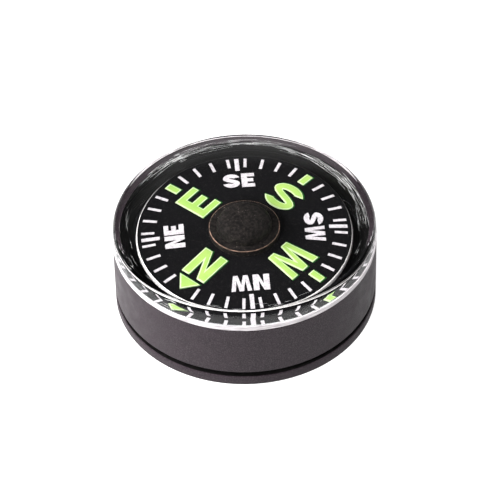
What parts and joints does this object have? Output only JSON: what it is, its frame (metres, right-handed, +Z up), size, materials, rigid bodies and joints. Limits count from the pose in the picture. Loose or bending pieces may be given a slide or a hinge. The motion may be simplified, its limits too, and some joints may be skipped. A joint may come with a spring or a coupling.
{
  "type": "liquid-filled button compass",
  "caption": "Small round liquid-filled compass with a dark case, a clear capsule and a luminous card that turns and dips on a jewelled pivot.",
  "frame": {"origin": "middle of the flat underside", "axes": "+Z up, out of the window, along the pivot; +Y is the card's north mark at rest"},
  "size_m": [0.02, 0.02, 0.0089],
  "materials": {
    "case": "satin dark purple-grey",
    "seal": "matte black",
    "crystal": "clear polished acrylic",
    "capsule_floor": "matte black",
    "brass": "turned",
    "pivot_steel": "ground point",
    "jewel": "polished synthetic jewel",
    "card": "matte black paint on aluminium with a bare edge",
    "magnet": "dark sintered magnet",
    "hub_cap": "matte black, slightly rough",
    "luminous": "pale green photoluminescent"
  },
  "bodies": {
    "root": {"case_barrel": "case", "base_cover": "case", "base_seal": "seal", "crystal": "crystal", "capsule_seal": "seal", "capsule_floor": "capsule_floor", "fill_plug": "seal", "pivot_post": "brass", "pivot_pin": "pivot_steel"},
    "jewel": {"jewel_cup": "jewel"},
    "card": {"compass_card": "card", "ring_magnet": "magnet", "jewel_holder": "brass", "hub_cap": "hub_cap", "luminous_letter_n": "luminous", "luminous_letter_e": "luminous", "luminous_letter_s": "luminous", "luminous_letter_w": "luminous", "luminous_arrow_n": "luminous", "luminous_bar_e": "luminous", "luminous_bar_s": "luminous", "luminous_bar_w": "luminous"}
  },
  "joints": [
    {"name": "card_spin", "type": "hinge", "parent": "root", "child": "jewel", "pos_m": [0, 0, 0.00618], "axis": [0, 0, 1], "continuous": true},
    {"name": "card_dip", "type": "hinge", "parent": "jewel", "child": "card", "pos_m": [0, 0, 0.00618], "axis": [1, 0, 0], "range_deg": [-6, 6]}
  ]
}
